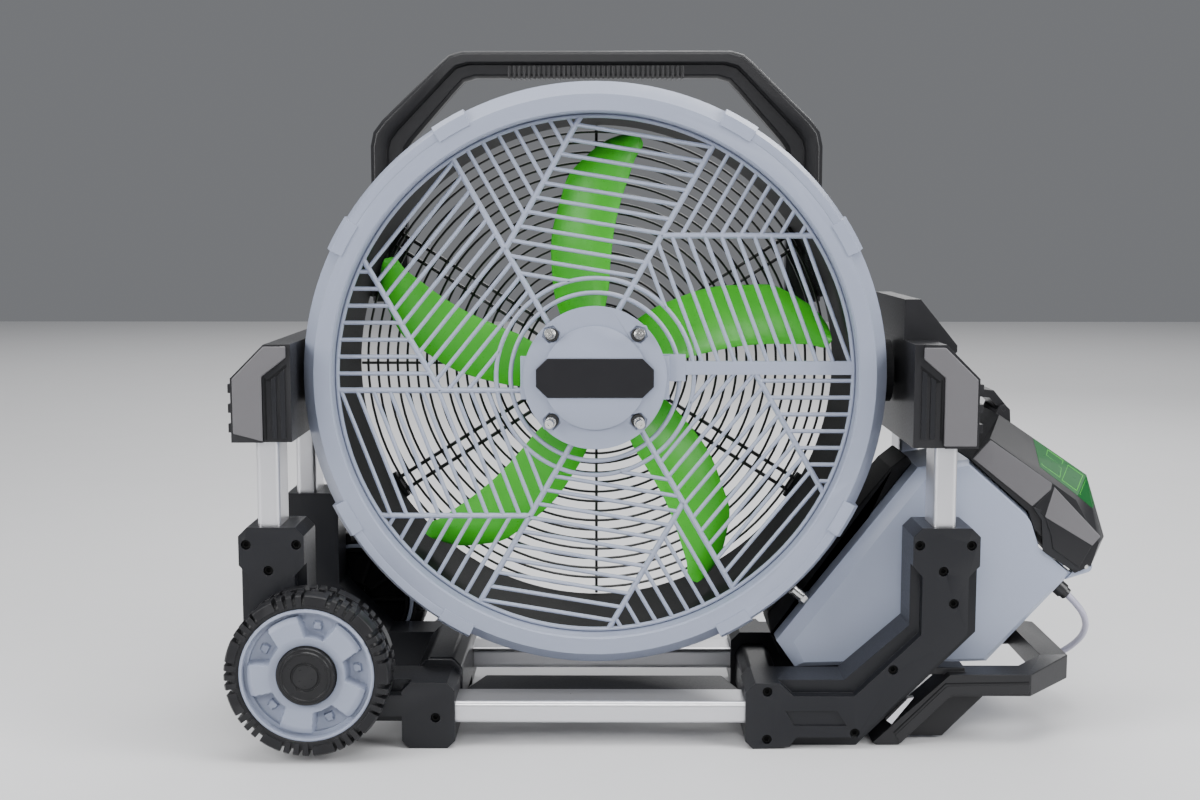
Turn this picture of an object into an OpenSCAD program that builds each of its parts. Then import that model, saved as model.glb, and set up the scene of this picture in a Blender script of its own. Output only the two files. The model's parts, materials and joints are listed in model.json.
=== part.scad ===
// Battery misting floor fan in a wheeled tube frame.
// X points to the right, Y to the back and Z up. The floor is Z = 0 and the middle plane of
// the frame is Y = 0. Pieces are drawn with the blade axis at X = 0, and in_place() then
// moves them so that the origin is under the middle of the whole fan. Sizes are millimetres.

/* [Fan head] */
// Height of the tilt axis, which is also the blade axis
axis_z = 340; // [338:1:344]
// Radius of the opening in the front ring
opening_r = 242; // [241:0.5:243]
// Radius of the widest lip of the front ring
ring_r = 271; // [270.5:0.5:272]
// Radius of the blade tips
blade_r = 228.5; // [215:0.5:230]
// Number of blades
blade_count = 5; // [3:1:7]
// Pitch of the slanting grille bars
slant_pitch = 14.2; // [14:0.1:15]
// Outer height of the carry handle above the axis
carry_top = 315; // [307:1:322]

/* [Frame] */
// Distance from the middle plane to the centre of a tube hoop
hoop_y = 90; // [90:1:92]
// Centre of the left uprights
left_x = -298; // [-299:0.5:-297]
// Centre of the right uprights
right_x = 319.5; // [319:0.5:321]
// Narrow side of the tubes
tube_w = 21; // [20:0.5:22]
// Deep side of the tubes
tube_d = 44; // [42:1:44]
// Wall of the tubes
tube_wall = 1.8; // [1.2:0.1:2.5]

/* [Wheels] */
// Distance of the wheel axle from the blade axis
wheel_x = -257; // [-260:1:-254]
// Height of the wheel axle
wheel_z = 81; // [76:0.5:82]
// Radius over the tread blocks
wheel_r = 74.5; // [70:0.5:75]
// Number of tread blocks in a row
tread_count = 36; // [24:1:40]

/* [Battery box] */
// Half of the width of the battery box
box_half = 55; // [54:1:56]
// Diameter of the lid's hinge pin
pin_d = 5; // [4:0.5:6]

/* [Hidden] */
$fn = 96;
// Lowest and highest X of the whole fan: the left tyre and the battery lid
reach_left = wheel_x - wheel_r;
reach_right = 489;
fit = 0.05;
gap = 0.4;
shaft_d = 10;
axle_d = 12;
pivot_d = 24;
hub_r = 66.5;
drum_r = 240;
grille_back = 66;
small_rings = [78.5, 92];
rib_shift = 12.5;
rib_w = 5.2;
bar_w = 3.6;
branch_at = 144;
slant = 129.3;
face_y = 118;
casting_back_y = 62;
cap_back_y = 60;
pivot_slope = 50.9;

// ---------- shared helpers ----------
// An outline in the XZ plane, extruded from y0 back to y1
module slab_y(points, y0, y1) {
    translate([0, y1, 0]) rotate([90, 0, 0]) linear_extrude(y1 - y0) polygon(points);
}
module rod_y(x, z, d, y0, y1) {
    translate([x, y0, z]) rotate([-90, 0, 0]) cylinder(d = d, h = y1 - y0);
}
module rod_x(y, z, d, x0, x1) {
    translate([x0, y, z]) rotate([0, 90, 0]) cylinder(d = d, h = x1 - x0);
}
module block(x, y, z) {
    translate([x[0], y[0], z[0]]) cube([x[1] - x[0], y[1] - y[0], z[1] - z[0]]);
}
module in_place() {
    translate([-(reach_left + reach_right) / 2, 0, 0]) children();
}
module at_back() {
    mirror([0, 1, 0]) children();
}
// Head pieces are drawn facing up: x right, y up, z towards the front
module in_head() {
    translate([0, 0, axis_z]) rotate([90, 0, 0]) children();
}
// A rectangle with round corners
module soft_rect(w, d, r) {
    square([w - 2 * r, d], center = true);
    square([w, d - 2 * r], center = true);
    for (x = [-1, 1], y = [-1, 1]) translate([x * (w / 2 - r), y * (d / 2 - r)]) circle(r);
}
module tube_section() {
    difference() {
        soft_rect(tube_w, tube_d, 5);
        soft_rect(tube_w - 2 * tube_wall, tube_d - 2 * tube_wall, 5 - tube_wall);
    }
}

// ---------- frame tubes ----------
upright_z = [112, 352];
bottom_tube_x = [-155, 170];
bottom_tube_z = 32;
module upright_at(x) {
    translate([x, -hoop_y, upright_z[0]]) linear_extrude(upright_z[1] - upright_z[0]) children();
}
module bottom_tube_at() {
    length = bottom_tube_x[1] - bottom_tube_x[0];
    translate([bottom_tube_x[0], -hoop_y, bottom_tube_z]) rotate([0, 90, 0])
        linear_extrude(length) children();
}
module front_bottom_tube() {
    color("silver") difference() {
        bottom_tube_at() tube_section();
        frame_screw_holes();
    }
}
module rear_bottom_tube() {
    at_back() front_bottom_tube();
}
module upright(x) {
    color("silver") difference() {
        upright_at(x) tube_section();
        frame_screw_holes();
    }
}

// ---------- screws of the frame ----------
left_screws = [[-318, 191], [-272, 191], [-298, 167], [-147, 29]];
right_screws = [
    [296, 191], [343, 191], [318, 167], [328, 137], [274, 75], [159, 54], [159, 9], [240, 15]
];
screw_seat = 112.6;
module frame_screw_holes() {
    for (p = concat(left_screws, right_screws)) {
        rod_y(p[0], p[1], 9, -face_y - 1, -screw_seat);
        rod_y(p[0], p[1], 5.2, -face_y, -72);
    }
}
module frame_screw_set() {
    for (p = concat(left_screws, right_screws)) {
        difference() {
            union() {
                rod_y(p[0], p[1], 7.8, -screw_seat - 3, -screw_seat);
                rod_y(p[0], p[1], 5, -screw_seat, -74);
            }
            translate([p[0], -screw_seat - 1.2, p[1]]) rotate([90, 0, 0])
                cylinder(d = 4.6, h = 4, $fn = 6);
        }
    }
}
module frame_screws() {
    color("dimgray") {
        frame_screw_set();
        at_back() frame_screw_set();
    }
}

// ---------- castings ----------
left_body = [
    [-325, 199], [-317, 207], [-273, 207], [-265, 199], [-265, 112], [-215, 62], [-136, 62],
    [-129, 54], [-129, 7], [-136, 0], [-171, 0], [-178, 7], [-178, 22], [-258, 22], [-325, 88]
];
left_face = [
    [-325, 199], [-317, 207], [-273, 207], [-265, 199], [-265, 172], [-274, 162], [-274, 116],
    [-219, 50], [-178, 50], [-178, 54], [-170, 62], [-136, 62], [-129, 54], [-129, 7],
    [-136, 0], [-171, 0], [-178, 7], [-178, 30], [-262, 30], [-316, 84], [-316, 162],
    [-325, 172]
];
right_body = [
    [290, 199], [298, 207], [343, 207], [351, 199], [351, 108], [247, 4], [243, 0], [146, 0],
    [139, 7], [139, 53], [148, 62], [231, 62], [290, 114]
];
right_face = [
    [290, 199], [298, 207], [343, 207], [351, 199], [351, 172], [341, 162], [341, 108],
    [245, 11], [186, 11], [180, 2], [146, 0], [139, 7], [139, 53], [148, 62], [170, 62],
    [183, 50], [239, 50], [299, 108], [299, 162], [290, 172]
];
face_step_y = 106;
module casting(body, front, x) {
    difference() {
        union() {
            slab_y(body, -face_step_y, -casting_back_y);
            slab_y(front, -face_y, -face_step_y);
        }
        upright_at(x) soft_rect(tube_w, tube_d, 5);
        bottom_tube_at() soft_rect(tube_w, tube_d, 5);
        frame_screw_holes();
    }
}
module front_left_casting() {
    color("#2b2b2e") difference() {
        casting(left_body, left_face, left_x);
        rod_y(wheel_x, wheel_z, axle_d, -face_y - 1, -casting_back_y + 1);
    }
}
module front_right_casting() {
    color("#2b2b2e") difference() {
        casting(right_body, right_face, right_x);
        slab_y([[176, 36], [184, 22], [232, 22], [224, 36]], -face_y - 1, -face_y + 2);
    }
}
cross_left = [[-170, 20], [-170, 60], [-160, 70], [-136, 70], [-127, 60], [-127, 20]];
cross_right = [[144, 8], [144, 42], [151, 50], [172, 50], [179, 42], [179, 8]];
module left_cross_member() {
    color("#252528") slab_y(cross_left, -casting_back_y, casting_back_y);
}
module right_cross_member() {
    color("#252528") slab_y(cross_right, -casting_back_y, casting_back_y);
}
// A shelf that stiffens the front tube
module lower_brace() {
    brace = [[-124, -68], [138, -68], [124, -20], [-108, -20]];
    color("#303034") translate([0, 0, 30]) linear_extrude(11) polygon(brace);
}

// ---------- side brackets, caps and the pivot housing ----------
left_cap_line = [[-328.6, 285], [-274.4, 285], [-274.4, 374], [-298, 374], [-328.6, 343.4]];
left_core_line = [[-326.6, 287], [-276.4, 287], [-276.4, 372], [-298.8, 372], [-326.6, 344.2]];
left_panel_line = [
    [-328.6, 285], [-300, 285], [-300, 346], [-283, 364], [-283, 374], [-298, 374],
    [-328.6, 343.4]
];
right_cap_line = [[288.3, 280], [346.7, 280], [346.7, 343.3], [316, 374], [288.3, 374]];
right_core_line = [[290.3, 282], [344.7, 282], [344.7, 342.5], [315.2, 372], [290.3, 372]];
right_panel_line = [
    [346.7, 280], [316.6, 280], [316.6, 346], [297, 366], [297, 374], [316, 374],
    [346.7, 343.3]
];
core_end_y = 112;
module bracket(cap_line, core_line, x) {
    difference() {
        union() {
            slab_y(cap_line, -cap_back_y, cap_back_y);
            slab_y(core_line, -core_end_y, core_end_y);
        }
        upright_at(x) soft_rect(tube_w, tube_d, 5);
        at_back() upright_at(x) soft_rect(tube_w, tube_d, 5);
    }
}
module left_bracket() {
    color("#29292c") difference() {
        bracket(left_cap_line, left_core_line, left_x);
        rod_x(0, axis_z, pivot_d + 2 * fit, -306, -270);
    }
}
module right_bracket() {
    color("#29292c") difference() {
        bracket(right_cap_line, right_core_line, right_x);
        rod_x(0, axis_z, pivot_d + 2 * fit, 280, 322);
    }
}
module cap(cap_line, core_line, panel_line, tooth_x, x) {
    difference() {
        union() {
            slab_y(cap_line, -face_y + 4, -cap_back_y);
            slab_y(panel_line, -face_y, -face_y + 4);
            for (z = [298, 316, 334]) {
                block([tooth_x - 3.5, tooth_x + 3.5], [-116, -105], [z - 4, z + 4]);
            }
        }
        slab_y(core_line, -core_end_y, -cap_back_y + 1);
        upright_at(x) soft_rect(tube_w, tube_d, 5);
    }
}
module left_cap() {
    color("#3a3a3e") cap(left_cap_line, left_core_line, left_panel_line, -327.9, left_x);
}
module right_cap() {
    color("#3a3a3e") cap(right_cap_line, right_core_line, right_panel_line, 347, right_x);
}
housing_line = [
    [288.3, 374], [288.3, 412], [303, 412], [338, 369], [338, 363], [332.5, 357.5], [316, 374]
];
housing_room = [[292.3, 373], [292.3, 408], [301, 408], [322, 382.5], [315, 373]];
slope_mid = [320.5, 390.5];
dial_y = 40;
button_y = -16;
// Pieces on the sloping face are drawn standing on it, with z away from the face
module on_slope(y) {
    translate([slope_mid[0], y, slope_mid[1]]) rotate([0, pivot_slope, 0]) children();
}
module pivot_housing() {
    color("#29292c") difference() {
        slab_y(housing_line, -cap_back_y, 100);
        slab_y(housing_room, -cap_back_y + 4, 96);
        on_slope(dial_y) translate([0, 0, -12]) cylinder(d = 6 + 2 * fit, h = 20);
        on_slope(button_y) translate([0, 0, -3]) linear_extrude(10) soft_rect(10.6, 16.6, 3.3);
        on_slope(button_y) translate([0, 0, -12]) cylinder(d = 4 + 2 * fit, h = 20);
    }
}
module speed_dial() {
    color("#3a3a3e") on_slope(dial_y) {
        difference() {
            union() {
                translate([0, 0, gap]) cylinder(d = 26, h = 5);
                translate([0, 0, gap]) cylinder(d = 20, h = 7);
            }
            translate([-1, 2, gap + 6]) cube([2, 10, 3]);
        }
        translate([0, 0, -8]) cylinder(d = 6, h = 10);
        translate([0, 0, -6.5]) cylinder(d = 9, h = 1.8);
    }
}
module power_button() {
    color("#55b73e") on_slope(button_y) {
        translate([0, 0, -1]) linear_extrude(3.6) soft_rect(10, 16, 3);
        translate([0, 0, -9]) cylinder(d = 4, h = 9);
    }
}

// ---------- pull handle ----------
handle_arm = [
    [258, 2], [262, 0], [283, 0], [326, 43.7], [333, 46.5], [404, 46.5], [404, 67], [329, 67],
    [319, 58]
];
handle_lug = [[307, 64], [345, 64], [345, 71], [314, 71]];
handle_web = [[284, 2], [327, 2], [371, 46.6], [328, 46]];
arm_y = [-106, -74];
module handle_corner() {
    hull() {
        block([400, 404], arm_y, [46.5, 67]);
        block([424, 450], [-62, -60], [51, 74]);
    }
}
module handle_side() {
    slab_y(handle_arm, arm_y[0], arm_y[1]);
    slab_y(handle_lug, -96, arm_y[1]);
    slab_y(handle_web, -86, -80);
    handle_corner();
}
module pull_handle() {
    color("#2e2e31") {
        handle_side();
        at_back() handle_side();
        block([424, 450], [-61, 61], [51, 74]);
    }
}

// ---------- wheels ----------
wheel_y = [-162, -120];
rim_r = 60.7;
module wheel_axle() {
    color("lightgray") rod_y(wheel_x, wheel_z, axle_d, -160, 160);
}
module wheel_spin() {
    translate([wheel_x, wheel_y[0], wheel_z]) rotate([-90, 0, 0]) children();
}
module wheel_rim() {
    wide = wheel_y[1] - wheel_y[0];
    color("#bec2d3") wheel_spin() difference() {
        cylinder(r = rim_r, h = wide);
        translate([0, 0, -1]) difference() {
            cylinder(r = 56, h = 3.5);
            translate([0, 0, -1]) cylinder(r = 30, h = 6);
        }
        translate([0, 0, -1]) cylinder(r = 26.7, h = 2);
        translate([0, 0, -1]) cylinder(d = axle_d + 2 * fit, h = wide + 2);
        for (k = [0:4]) {
            rotate([0, 0, 73 + 72 * k]) translate([0, 0, -1]) linear_extrude(13)
                polygon([[35, -9], [55, -14], [55, 14], [35, 9]]);
        }
        translate([0, 0, 30]) difference() {
            cylinder(r = 55, h = 20);
            translate([0, 0, -1]) cylinder(r = 16, h = 22);
        }
    }
}
module wheel_tyre() {
    wide = wheel_y[1] - wheel_y[0];
    block_w = 7.5;
    color("#1b1d22") wheel_spin() linear_extrude(wide) difference() {
        union() {
            circle(r = wheel_r - 3.5);
            for (k = [0:tread_count - 1]) {
                rotate(360 / tread_count * k) translate([wheel_r - 8, -block_w / 2])
                    square([8 - 0.1, block_w]);
            }
        }
        circle(r = rim_r);
    }
}
module wheel_cap() {
    color("#4c4a54") wheel_spin() translate([0, 0, -4]) difference() {
        cylinder(r = 26.4, h = 5);
        translate([0, 0, -1]) difference() {
            cylinder(r = 23, h = 1.8);
            translate([0, 0, -1]) cylinder(r = 13, h = 4);
        }
    }
}

// ---------- battery box ----------
box_line = [
    [174, 84], [192, 58], [376, 64], [455, 151], [447, 155], [421, 177], [410, 210], [354, 260],
    [306, 252]
];
box_face_line = [
    [190, 84], [200, 64], [372, 68], [449, 152], [421, 175], [408, 207], [353, 255], [318, 249]
];
box_room_line = [
    [179, 84], [194, 62.1], [374.5, 68], [451, 152], [446, 156], [418.5, 175.5], [407.5, 208],
    [353, 256], [307, 248.3]
];
hinge = [468, 157];
ear_y = [[-50, -40], [-5, 5], [40, 50]];
ear_line = [[449, 144.4], [455, 151], [462, 162], [474, 157], [471, 151.6]];
module box_side() {
    hull() {
        slab_y(box_line, -box_half + 7, -box_half + 9);
        slab_y(box_face_line, -box_half, -box_half + 1);
    }
}
fitting_seats = [[442.8, -30, 137.41, 132.2], [348, 38, 63.04, 178.13]];
module at_fitting(seat) {
    translate([seat[0], seat[1], seat[2]]) rotate([0, seat[3], 0]) children();
}
module pump_box() {
    color("#bec2d3") difference() {
        union() {
            intersection() {
                union() {
                    box_side();
                    at_back() box_side();
                }
                slab_y(box_line, -box_half - 1, box_half + 1);
            }
            slab_y(box_line, -box_half + 8, box_half - 8);
            for (e = ear_y) {
                slab_y(ear_line, e[0], e[1]);
                rod_y(hinge[0], hinge[1], 12, e[0], e[1]);
            }
        }
        slab_y(box_room_line, -box_half + 9, box_half - 9);
        slab_y([[354, 258], [410, 208], [421, 175], [450, 153], [470, 170], [400, 270]],
            -box_half + 9, box_half - 9);
        rod_y(hinge[0], hinge[1], pin_d, -60, 60);
        for (seat = fitting_seats) at_fitting(seat) translate([0, 0, -8]) cylinder(d = 8, h = 16);
        translate([203.5, -38, 121]) rotate([0, -51.1, 0]) translate([0, 0, -6])
            cylinder(d = 8, h = 14);
    }
}
liner_line = [
    [200, 50], [196, 49], [180, 63], [171.5, 83], [167.5, 104], [285, 248], [300, 260],
    [305.5, 252.2], [173.6, 84.2], [191.7, 57.6], [200, 57.8]
];
module box_liner() {
    color("#202124") slab_y(liner_line, -24, 52);
}
module lid_hinge_pin() {
    color("lightgray") rod_y(hinge[0], hinge[1], pin_d, -50, 50);
}
battery_mid = [364, 160];
box_tilt = 48;
module in_bay() {
    translate([battery_mid[0], 0, battery_mid[1]]) rotate([0, -box_tilt, 0]) children();
}
module battery_pack() {
    color("#4a4a4e") in_bay() {
        block([-54, 40], [-44, 44], [-42, 42]);
        block([40, 46], [-38, 38], [-30, 36]);
    }
}
module battery_terminals() {
    color("#303034") in_bay() {
        block([-60, -54], [-45, 45], [-46, 90]);
        for (y = [-24, -8, 8, 24]) block([-72, -60], [y - 3, y + 3], [-14, 14]);
    }
}
module pump() {
    color("#38383c") {
        rod_y(250, 98, 44, -34, 34);
        rod_y(250, 98, 30, -42, 40);
        slab_y([[235, 63.6], [265, 64.6], [265, 90], [235, 90]], -24, 24);
    }
}
module outlet_connector() {
    color("lightgray") translate([203.5, -38, 121]) rotate([0, -51.1, 0]) {
        difference() {
            union() {
                translate([0, 0, -2]) cylinder(d = 8, h = 6);
                translate([0, 0, 0.4]) cylinder(d = 13, h = 5, $fn = 6);
                translate([0, 0, 5.4]) cylinder(d = 11, h = 12);
            }
            translate([0, 0, 7]) cylinder(d = 6, h = 12);
        }
    }
}
module hose_fittings() {
    color("#26262a") for (seat = fitting_seats) at_fitting(seat) {
        cylinder(d = 18, h = 4);
        translate([0, 0, 4]) cylinder(d = 15, h = 9);
        translate([0, 0, 13]) cylinder(d = 12, h = 5);
    }
}

// ---------- hose ----------
hose_d = 6.5;
hose_route = [
    [456.15, -30, 125.3], [459.8, -30, 122], [466, -29, 115.5], [473, -25, 107], [479, -17, 97],
    [484, -3, 85.5], [485.5, 14, 71.5], [482, 34, 56.5], [474, 54, 42], [461, 70, 29], [442, 77, 18],
    [420, 74, 10], [397, 64, 6], [375, 52, 8], [359, 43, 16], [350, 39, 28], [348.7, 38, 38],
    [348.6, 38, 45]
];
function unit(v) = v / norm(v);
function heading(path, i) = unit(path[min(i + 1, len(path) - 1)] - path[max(i - 1, 0)]);
function side_of(t) = unit(cross(t, abs(t[1]) < 0.8 ? [0, 1, 0] : [1, 0, 0]));
// The next side vector, kept square to the new heading so that the tube does not twist
function carried(s, t) = unit(s - (s * t) * t);
function sides(path, i) = i == 0 ? side_of(heading(path, 0))
    : carried(sides(path, i - 1), heading(path, i));
// A smooth curve through the route's points
function knot(path, i) = path[max(0, min(i, len(path) - 1))];
function between(path, i, u) = 0.5 * (2 * knot(path, i) + (knot(path, i + 1) - knot(path, i - 1)) * u
    + (2 * knot(path, i - 1) - 5 * knot(path, i) + 4 * knot(path, i + 1) - knot(path, i + 2)) * u * u
    + (3 * knot(path, i) - knot(path, i - 1) - 3 * knot(path, i + 1) + knot(path, i + 2)) * u * u * u);
hose_path = concat(
    [for (i = [0:len(hose_route) - 2], u = [0, 0.5]) between(hose_route, i, u)],
    [hose_route[len(hose_route) - 1]]
);
module swept_tube(path, d, n) {
    rings = len(path);
    points = [for (i = [0:rings - 1]) let (t = heading(path, i), s = sides(path, i), c = cross(t, s))
        for (k = [0:n - 1]) path[i] + d / 2 * (cos(360 / n * k) * s + sin(360 / n * k) * c)];
    walls = [for (i = [0:rings - 2], k = [0:n - 1]) [
        i * n + k, i * n + (k + 1) % n, (i + 1) * n + (k + 1) % n, (i + 1) * n + k]];
    ends = [[for (k = [n - 1:-1:0]) k], [for (k = [0:n - 1]) (rings - 1) * n + k]];
    polyhedron(points, concat(walls, ends));
}
module hose() {
    color("#a9a6bd") swept_tube(hose_path, hose_d, 10);
}

// ---------- battery lid ----------
lid_low = [[354.5, 261], [372, 281], [455, 222], [478, 180], [471, 158], [456, 151.5]];
lid_high = [[354.5, 261], [385, 301], [470, 243], [489, 183], [477, 158], [456, 151.5]];
lid_low_room = [[360, 262], [373, 276], [452, 219.5], [474, 180], [468, 162], [458, 155.5]];
lid_high_room = [[360, 262], [386, 296], [467, 240.5], [485, 183], [475, 162], [458, 155.5]];
// Everything below the joint between the lid and the box
below_lid = [
    [354.4, 260.6], [410.6, 210.6], [421.6, 177.6], [447.4, 155.6], [455.5, 151.5], [470, 130],
    [300, 60], [300, 260.6]
];
module lid_form(low, high, low_y, high_y) {
    hull() {
        slab_y(low, -low_y, low_y);
        slab_y(high, -high_y, high_y);
    }
}
module lid_skin() {
    difference() {
        lid_form(lid_low, lid_high, box_half, box_half - 20);
        lid_form(lid_low_room, lid_high_room, box_half - 4, box_half - 24);
        slab_y(below_lid, -box_half - 1, box_half + 1);
    }
}
window_zone = [[414, 310], [421, 253], [453, 229], [474, 212], [500, 226], [470, 280]];
module battery_lid() {
    knuckles = [[ear_y[0][1] + gap, ear_y[1][0] - gap], [ear_y[1][1] + gap, ear_y[2][0] - gap]];
    color("#38393d") difference() {
        union() {
            difference() {
                lid_skin();
                slab_y(window_zone, -60, 60);
                for (e = ear_y) block([440, 482], [e[0] - gap, e[1] + gap], [138, 166]);
            }
            for (k = knuckles) {
                rod_y(hinge[0], hinge[1], 12, k[0], k[1]);
            }
            for (y = [-28, 24.3]) {
                slab_y([[384, 302], [388, 294], [398, 288], [397, 305], [392, 310], [387, 309]], y, y + 3.7);
            }
        }
        rod_y(hinge[0], hinge[1], pin_d + 2 * fit, -60, 60);
        rod_y(latch_pivot[0], latch_pivot[1], 4 + 2 * fit, -40, 40);
    }
}
module lid_window() {
    color("#1f7a34") intersection() {
        lid_skin();
        slab_y(window_zone, -60, 60);
    }
}
latch_pivot = [391, 305.5];
latch_line = [
    [362, 300], [362, 325], [382, 323], [397, 305], [393, 300.5], [388, 305], [378, 316],
    [369, 317], [369, 300]
];
module lid_latch() {
    color("#2b2b2e") {
        slab_y(latch_line, -24, 24);
        rod_y(latch_pivot[0], latch_pivot[1], 4, -28, 28);
    }
}

// ---------- head: ring and grille ----------
ring_profile = [
    [opening_r, 62], [opening_r, 90], [opening_r + 1.5, 92], [258, 92], [262, 85], [ring_r, 70],
    [ring_r, 56], [262.3, 56], [262.3, 62]
];
ring_rim = [[257, 84], [257, 91], [258.5, 92.3], [265.5, 92.3], [270.5, 80], [270.5, 64], [263, 64]];
ring_tab = [[256, 84], [256, 93], [267, 93], [272.5, 80], [272.5, 62], [263, 62]];
module turned(profile, start, sweep) {
    rotate([0, 0, start]) rotate_extrude(angle = sweep, $fn = 180) polygon(profile);
}
module front_ring() {
    color("#a9afc4") in_head() {
        rotate_extrude($fn = 180) polygon(ring_profile);
        for (q = [0:90:270]) {
            turned(ring_rim, q + 32, 26);
            turned(ring_tab, q + 26, 7);
            turned(ring_tab, q + 57, 7);
        }
    }
}
// A flat bar from p to q
module bar(p, q, w) {
    d = q - p;
    translate(p) rotate(atan2(d[1], d[0])) translate([0, -w / 2]) square([norm(d), w]);
}
bar_end_r = opening_r - 4;
// Where a straight line from p along the unit direction d leaves the circle of radius r
function leaves(p, d, r) = p + d * (-(p * d) + sqrt((p * d) * (p * d) - p * p + r * r));
rib_foot = [-rib_shift, branch_at];
branch_dir = [sin(60), cos(60)];
slant_dir = [sin(slant), cos(slant)];
slant_normal = [-slant_dir[1], slant_dir[0]];
slant_first = 226;
slant_count = 11;
// Left end of a slanting bar at distance c from the centre: on the branch, or on the rib
function slant_start(c) = c > slant_normal * rib_foot
    ? rib_foot + branch_dir * (c - slant_normal * rib_foot) / (slant_normal * branch_dir)
    : [-rib_shift, (c + rib_shift * slant_normal[0]) / slant_normal[1]];
next_foot = [-rib_shift * cos(60), rib_shift * sin(60)];
function slant_end(c) = next_foot
    + branch_dir * (c - slant_normal * next_foot) / (slant_normal * branch_dir);
module sector_ribs() {
    bar([-rib_shift, 60], leaves([-rib_shift, 60], [0, 1], bar_end_r), rib_w);
    bar(rib_foot, leaves(rib_foot, branch_dir, bar_end_r), rib_w);
}
module sector_bars() {
    for (i = [1:7]) {
        p = rib_foot + branch_dir * 18.2 * i;
        bar(p, leaves(p, [0, 1], bar_end_r), bar_w);
    }
    difference() {
        for (j = [0:slant_count - 1]) {
            c = slant_first - slant_pitch * j;
            bar(slant_start(c), slant_end(c), bar_w);
        }
        circle(r = small_rings[1]);
    }
}
module ring_2d(r, w) {
    difference() {
        circle(r + w / 2);
        circle(r - w / 2);
    }
}
module front_grille() {
    color("#a9afc4") in_head() {
        translate([0, 0, grille_back + 1]) linear_extrude(4.5) {
            for (k = [0:5]) rotate(30 - 60 * k) sector_bars();
            for (r = small_rings) ring_2d(r, bar_w);
        }
        translate([0, 0, grille_back]) linear_extrude(6) {
            for (k = [0:5]) rotate(30 - 60 * k) sector_ribs();
            translate([60, 2.5]) square([bar_end_r - 60, 12.5]);
            translate([60, -3.5]) square([24, 25]);
            ring_2d(opening_r - 2.5, 5);
            circle(r = 65);
        }
    }
}

// ---------- head: hub cap and nozzles ----------
nozzle_at = [39.5, 39.5];
nozzle_splay = 17;
badge_line = [
    [-54.5, -8], [-44, -18.2], [44, -18.2], [54.5, -8], [54.5, 8], [44, 18.2], [-44, 18.2],
    [-54.5, 8]
];
module at_nozzles() {
    for (a = [0:90:270]) rotate([0, 0, a]) translate([nozzle_at[0], nozzle_at[1], 74.5])
        rotate([0, 0, 45]) rotate([0, nozzle_splay, 0]) children();
}
module hub_cap() {
    color("#b3bcce") in_head() difference() {
        union() {
            translate([0, 0, 72]) cylinder(r = hub_r, h = 6.5);
            translate([0, 0, 72]) cylinder(r = 48, h = 8.5);
            for (s = [-1, 1]) translate([s * 62 - 7, -20, 72]) cube([14, 40, 5]);
        }
        translate([0, 0, 78.5]) linear_extrude(5) polygon(badge_line);
        at_nozzles() cylinder(d = 17, h = 20, $fn = 6);
    }
}
module hub_badge() {
    color("#2e2e33") in_head() translate([0, 0, 78.5]) linear_extrude(3.2) polygon(badge_line);
}
module mist_nozzles() {
    color("lightgray") in_head() at_nozzles() difference() {
        union() {
            cylinder(d = 7, h = 4);
            translate([0, 0, 2.6]) cylinder(d = 10, h = 5);
            translate([0, 0, 7.6]) cylinder(d = 8.4, h = 6);
        }
        translate([0, 0, 12.6]) cylinder(d = 3, h = 3);
    }
}
module nozzle_seals() {
    color("#1c1c1e") in_head() at_nozzles() difference() {
        cylinder(d = 12.4, h = 2.6);
        translate([0, 0, -1]) cylinder(d = 7, h = 5);
    }
}
module mist_tube() {
    color("#232326") in_head() {
        translate([50, 8.8, 60]) rotate([0, 90, 0]) cylinder(d = 8, h = 188);
        translate([226, 8.8, 60]) rotate([0, 90, 0]) cylinder(d = 11, h = 12);
    }
}

// ---------- head: drum, guard, motor and handle ----------
drum_profile = [
    [drum_r, -74], [251, -74], [251, -70], [244, -70], [244, 56], [262, 56], [262, 62],
    [drum_r, 62]
];
module drum() {
    color("#232326") in_head() rotate_extrude($fn = 180) polygon(drum_profile);
}
guard_first = 72;
guard_last = 236;
guard_pitch = 10;
wire = 2.6;
pair_angles = [58, 122, 238, 302];
module rear_guard() {
    color("#1d1d20") in_head() {
        translate([0, 0, -77]) rotate_extrude($fn = 120)
            for (r = [guard_first:guard_pitch:guard_last]) translate([r, 0]) square([wire, wire]);
        translate([0, 0, -80]) linear_extrude(4) ring_2d(56, 12);
        for (a = [0:90:270]) rotate([0, 0, a]) translate([56, -1.5, -79.6])
            cube([184, 3, 3]);
        for (a = pair_angles, s = [-7, 7]) rotate([0, 0, -a]) translate([s - 2, 54, -80.6])
            cube([4, 190, 4]);
    }
}
module guard_clips() {
    color("#1a1a1c") in_head() for (a = pair_angles) rotate([0, 0, -a]) difference() {
        translate([-14, 236, -84]) cube([28, 12, 10]);
        for (s = [-7, 7]) translate([s - 2, 230, -80.6]) cube([4, 14, 4]);
    }
}
module motor_housing() {
    color("#2a2a2d") in_head() difference() {
        union() {
            translate([0, 0, -70]) cylinder(r = 50, h = 50);
            translate([0, 0, -76]) cylinder(r = 60, h = 6);
            translate([0, 0, -94]) cylinder(r = 40, h = 18);
        }
        translate([0, 0, -66]) cylinder(d = shaft_d + 2 * fit, h = 60);
        for (a = [0:20:340]) rotate([0, 0, a]) translate([46, -2, -60]) cube([6, 4, 34]);
    }
}
carry_outer = [
    [-230, 62], [-230, 228], [-223, 240], [-150, 310], [-138, carry_top], [138, carry_top],
    [150, 310], [223, 240], [230, 228], [230, 62]
];
carry_inner = [
    [-194, 52], [-194, 216], [-136, 276], [-124, 283], [124, 283], [136, 276], [194, 216],
    [194, 52]
];
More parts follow.
